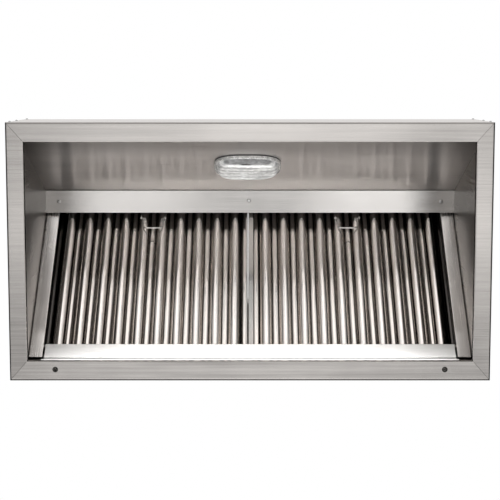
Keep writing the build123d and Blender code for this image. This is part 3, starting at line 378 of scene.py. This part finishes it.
# ---------------------------------------------------------------- materials
STEEL = (0.632, 0.602, 0.578)
mats = {
    "rim": brushed("rim_steel", grain=0, rough=0.18, aniso=0.5, shade=0.20, seed=0.3, mitre=True, mix=(0.16, 0.46, 0.38)),
    "side_rim": brushed("side_rim_steel", grain=0, tone=(0.585, 0.556, 0.533), rough=0.18, aniso=0.5, shade=0.20, seed=1.1, mitre=True, mix=(0.22, 0.56, 0.22)),
    # painted_falloff paints shade and light on the liner by height, and painted shade in its left corner
    "liner": brushed("liner_steel", grain=0, tone=(0.80, 0.762, 0.735), rough=0.315, aniso=0.83, shade=0.05, seed=2.2, painted_falloff=True),
    "header": brushed("header_steel", grain=0, tone=(0.74, 0.715, 0.692), rough=0.18, aniso=0.0, seed=3.0),
    # inside=0.20 paints shade on the inner skin of the walls
    "wall": brushed("wall_steel", grain=2, rough=0.30, aniso=0.4, shade=0.09, seed=4.1, inside=0.20),
    "guide": brushed("guide_steel", grain=1, tone=(0.86, 0.826, 0.80), rough=0.26, aniso=0.5, turn=TILT, line=DOWN_BANK, seed=5.2),
    "trough": brushed("trough_steel", grain=0, tone=(0.80, 0.79, 0.775), rough=0.40, aniso=0.3, seed=6.3),
    "strip": brushed("trough_strip_steel", grain=0, tone=(0.88, 0.865, 0.85), rough=0.62, aniso=0.3, seed=6.9),
    "channel": brushed("filter_channel_steel", grain=1, tone=(0.64, 0.63, 0.615), rough=0.20, turn=TILT, line=DOWN_BANK, lines=0.4, seed=7.4),
    # a near-black copy of the channel steel, painted shade for the outermost channels beside the guides
    "channel_in_shade": brushed("filter_channel_end_steel", grain=1, tone=(0.085, 0.081, 0.078), rough=0.34, turn=TILT, line=DOWN_BANK, lines=0.4, seed=7.6),
    "channel_x": brushed("filter_channel_steel_x", grain=0, tone=(0.64, 0.63, 0.615), rough=0.20, lines=0.4, seed=7.9),
    "left_baffle": rolled("left_baffle_strip", LEFT_X0 + 0.044, seed=8.5),
    "right_baffle": rolled("right_baffle_strip", RIGHT_X0 + 0.044, seed=8.8),
    "outer": brushed("outer_steel", grain=0, rough=0.29, seed=9.6),
    "slope": brushed("outer_slope_steel", grain=0, rough=0.29, seed=9.9),
    "top": brushed("top_steel", grain=0, rough=0.31, seed=10.7),
    "collar": satin("collar_steel", STEEL, 0.33, scale=120.0, seed=11.1),
    "wire": satin("handle_wire", (0.66, 0.65, 0.635), 0.20, scale=500.0, bump=0.000008, seed=12.0),
    "fastener": turned("fastener_bright", seed=13.0),
    "zinc": galvanised("zinc_sheet", seed=14.0),
    "ring": satin("lamp_ring_satin", (0.62, 0.62, 0.61), 0.26, scale=110.0, bump=0.00002, metal=0.35, shade=0.30, seed=15.0),
    "pan": satin("lamp_pan_cast", (0.80, 0.80, 0.79), 0.40, scale=260.0, bump=0.00008, seed=16.0),
    "lens": prism_glass("lamp_lens_glass"),
    "bulb": moulded("bulb_frosting", (0.90, 0.90, 0.88), 0.30, scale=1500.0, bump=0.00001, shade=0.03, seed=17.0),
    "ceramic": moulded("socket_glaze", (0.82, 0.80, 0.76), 0.16, scale=500.0, bump=0.00003, shade=0.05, seed=18.0),
    "rubber": moulded("gasket_rubber", (0.022, 0.022, 0.023), 0.72, scale=1400.0, bump=0.00008, seed=19.0),
    "gland": moulded("gland_plastic", (0.030, 0.030, 0.032), 0.45, scale=1100.0, bump=0.00005, seed=20.0),
}

FINISH = {
    "front_rim": "rim", "rear_rim": "rim", "left_rim": "side_rim", "right_rim": "side_rim",
    "front_liner": "liner", "header_rail": "header", "plenum_front_panel": "wall",
    "left_side_panel": "wall", "right_side_panel": "wall", "rear_panel": "wall",
    "left_filter_guide": "guide", "right_filter_guide": "guide",
    "grease_trough": "trough", "trough_end_caps": "trough", "trough_wall_strip": "strip", "filter_rest_angle": "trough",
    "front_fascia": "outer", "front_slope_panel": "slope", "top_panel": "top", "fascia_corner_angles": "outer",
    "duct_collar": "collar", "collar_flange": "collar",
    "header_screws": "fastener", "header_rivet_nuts": "fastener", "fascia_rivets": "fastener", "lamp_screws": "fastener",
    "junction_box_screws": "fastener", "collar_rivets": "fastener", "hanger_bolts": "fastener",
    "hanger_brackets": "zinc", "lamp_conduit": "zinc", "conduit_fittings": "zinc", "junction_box": "zinc",
    "junction_box_cover": "zinc", "lamp_socket_bracket": "zinc",
    "lamp_ring": "ring", "lamp_pan": "pan", "lamp_lens": "lens", "lamp_bulb": "bulb", "lamp_socket": "ceramic",
    "lamp_gasket": "rubber", "supply_gland": "gland",
}
for side in ("left", "right"):
    for part, key in (("top_channel", "channel_x"), ("bottom_channel", "channel_x"), ("left_channel", "channel"), ("right_channel", "channel"), ("handle_lugs", "channel"), ("front_baffles", side + "_baffle"), ("rear_baffles", side + "_baffle"), ("rivets", "fastener"), ("handle", "wire")):
        FINISH["%s_filter_%s" % (side, part)] = key


def paint(obj, mat):
    obj.data.materials.clear()
    obj.data.materials.append(mat)


for name, key in FINISH.items():
    paint(nodes[name], mats[key])

# the outermost channels beside the guides take the painted-shade copy
paint(nodes["left_filter_left_channel"], mats["channel_in_shade"])
paint(nodes["right_filter_right_channel"], mats["channel_in_shade"])

# ------------------------------------------------------------------- stage
bm = bmesh.new()
bmesh.ops.create_grid(bm, x_segments=1, y_segments=1, size=12.0)
floor_mesh = bpy.data.meshes.new("floor")
bm.to_mesh(floor_mesh)
bm.free()
floor = bpy.data.objects.new("floor", floor_mesh)
floor.location = (0, 0, -4.2)
scene.collection.objects.link(floor)
fm = Nodes("floor_paint")
f_co = fm.coords()
f_cloud = fm.noise(f_co, 1.3, 4.0, 0.55)
f_grit = fm.noise(f_co, 240.0, 3.0, 0.6)
fm.link(fm.ramp(fm.blend((0.6, f_cloud), (0.4, f_grit)), [(0.35, (0.495, 0.495, 0.494)), (0.65, (0.530, 0.530, 0.528))]), fm.bsdf.inputs["Base Color"])
fm.link(fm.span(f_cloud, 0.75, 0.9, 0.35, 0.65), fm.bsdf.inputs["Roughness"])
fm.link(fm.bump(f_grit, 0.4, 0.0004), fm.bsdf.inputs["Normal"])
paint(floor, fm.mat)

world = bpy.data.worlds.new("studio")
scene.world = world
world.use_nodes = True
wt = world.node_tree
wt.nodes.clear()
w_out = wt.nodes.new("ShaderNodeOutputWorld")
w_bg = wt.nodes.new("ShaderNodeBackground")
w_bg.inputs["Color"].default_value = (1, 1, 1, 1)
w_bg.inputs["Strength"].default_value = 1.0
wt.links.new(w_bg.outputs[0], w_out.inputs[0])


def softbox(name, place, aim, size, glow):
    """A rectangular soft light. glow is its brightness, with white paper in full light at 1."""
    data = bpy.data.lights.new(name, "AREA")
    data.shape = "RECTANGLE"
    data.size, data.size_y = size
    data.energy = glow * math.pi * size[0] * size[1]
    lamp = bpy.data.objects.new(name, data)
    scene.collection.objects.link(lamp)
    ahead = (Vector(aim) - Vector(place)).normalized()
    across = Vector((1, 0, 0))
    if abs(ahead.x) > 0.5:
        across = Vector((0, 1, 0))
    across = (across - ahead * across.dot(ahead)).normalized()
    lamp.matrix_world = Matrix.Translation(place) @ Matrix((across, (-ahead).cross(across), -ahead)).transposed().to_4x4()
    lamp.visible_camera = False
    return lamp


LIGHTS = [
    # under the wall side: filters, gutter and, by way of the filters, the liner
    ("low_panel", (0, 1.00, -0.72), (0, -0.10, 0.25), (4.6, 0.8), 0.44),
    ("low_bar", (0, 0.82, -1.15), (0, 0, 0.3), (1.3, 0.3), 0.75),
    # the cooktop's own brightness, as the inside of the canopy sees it
    ("mouth_fill", (0, 0.000, -0.03), (0, 0.000, 0.3), (0.94, 0.44), 0.42),
    # a far window beyond the cooktop: the white cores of the baffles
    ("far_low", (0, 4.20, -3.70), (0, -0.20, 0.35), (5.0, 2.4), 1.7),
    ("guide_left", (-0.44, -0.085, 0.41), (-0.46, 0.10, 0.41), (0.18, 0.40), 0.72),
    ("foot_left", (-0.500, 0.130, 0.232), (-0.513, 0.275, 0.250), (0.06, 0.11), 0.50),
    ("foot_right", (0.500, 0.130, 0.232), (0.513, 0.275, 0.250), (0.06, 0.11), 0.28),
    ("guide_right", (0.44, -0.085, 0.41), (0.46, 0.10, 0.41), (0.18, 0.40), 0.53),
    ("ledge_left", (-0.512, 0.0, 0.047), (-0.512, 0.0, 0.5), (0.042, 0.50), 0.65),
    ("ledge_right", (0.512, 0.0, 0.047), (0.512, 0.0, 0.5), (0.042, 0.50), 0.50),
    # soft cards that only the baffles see: the bright lower half of each crown
    ("core_tall", (0, -0.132, 0.315), (0, 0.0, 0.315), (0.98, 0.25), 0.31),
    ("core_low", (0, -0.150, 0.290), (0, 0.0, 0.290), (0.98, 0.20), 0.06),
    ("strip_glow", (0, -0.55, -1.20), (0, 0.28, 0.10), (3.0, 0.5), 14.0),
    # low on the cook's side, under the front rim, on to the gutter
    ("gutter_strip", (0, -1.6, -0.65), (0, 0.25, 0.17), (6.4, 0.35), 33.0),
    ("front_panel", (0, -1.5, -1.6), (0, 0, 0.2), (2.0, 1.0), 0.6),
    # cards round the camera, seen in the rim and the header shelf
    ("header_left", (-0.81, 0.273, -3.5), (-0.81, 0.273, 0), (0.85, 0.24), 1.10),
    ("header_right", (0.81, 0.273, -3.5), (0.81, 0.273, 0), (0.85, 0.24), 1.15),
    ("rim_middle", (0, -0.22, -3.5), (0, -0.22, 0), (0.5, 0.3), 1.4),
    ("rim_left", (-0.5, -0.22, -3.5), (-0.5, -0.22, 0), (0.5, 0.3), 0.7),
    ("rim_right", (0.5, -0.22, -3.5), (0.5, -0.22, 0), (0.5, 0.3), 1.0),
    ("rim_far_left", (-0.95, -0.22, -3.5), (-0.95, -0.22, 0), (0.4, 0.3), 0.35),
    ("rim_far_right", (0.95, -0.22, -3.5), (0.95, -0.22, 0), (0.4, 0.3), 0.40),
    ("side_right", (1.15, 0.25, -3.5), (1.15, 0.25, 0), (0.3, 0.9), 0.5),
    ("rear_middle", (0, 1.02, -3.5), (0, 1.02, 0), (1.6, 0.45), 0.22),
]
OUTSIDE = ("outer", "slope", "top", "collar", "rim", "side_rim")


def group(name, members):
    made = bpy.data.collections.new(name)
    for m in members:
        made.objects.link(nodes[m])
    return made


within = [n for n, key in FINISH.items() if key not in OUTSIDE + ("wall",) and n != "fascia_rivets"] + ["left_side_panel", "right_side_panel"]
inner = group("inner_pieces", within)
deep = group("deep_pieces", [n for n in within if n != "header_rail"])
low = group("low_pieces", [n for n in within if n not in ("left_side_panel", "right_side_panel")])
guides = group("guide_pieces", ["left_filter_guide", "right_filter_guide"])
shelf = group("shelf_pieces", ["header_rail"])
strip = group("strip_pieces", ["trough_wall_strip"])
# lights flagged off everything but these
FLAGGED = {"gutter_strip": low, "front_panel": inner, "mouth_fill": deep, "far_low": deep, "guide_left": guides, "guide_right": guides, "foot_left": guides, "foot_right": guides,
           "ledge_left": shelf, "ledge_right": shelf, "strip_glow": strip}
baffles = group("baffle_pieces", [n for n in FINISH if n.endswith("_baffles")])
for spec in LIGHTS:
    lamp = softbox(*spec)
    if spec[0].startswith("core_"):
        lamp.light_linking.receiver_collection = baffles
    if spec[0] in FLAGGED:
        lamp.light_linking.receiver_collection = FLAGGED[spec[0]]

# ------------------------------------------------------------------ camera
cam_data = bpy.data.cameras.new("camera")
cam_data.sensor_width = 36.0
cam_data.lens = 99.36
cam_data.clip_start = 0.05
cam_data.clip_end = 60.0
cam = bpy.data.objects.new("camera", cam_data)
scene.collection.objects.link(cam)
fwd = Vector((0.0, 0.11807, 0.99301)).normalized()
up = Vector((0.0, -0.99301, 0.11807)).normalized()
right = fwd.cross(up)
rot = Matrix((right, up, -fwd)).transposed()
cam.matrix_world = Matrix.Translation((0.0, -0.3646 + SHIFT_Y, -3.0147)) @ rot.to_4x4()
scene.camera = cam
scene.view_settings.view_transform = "Standard"
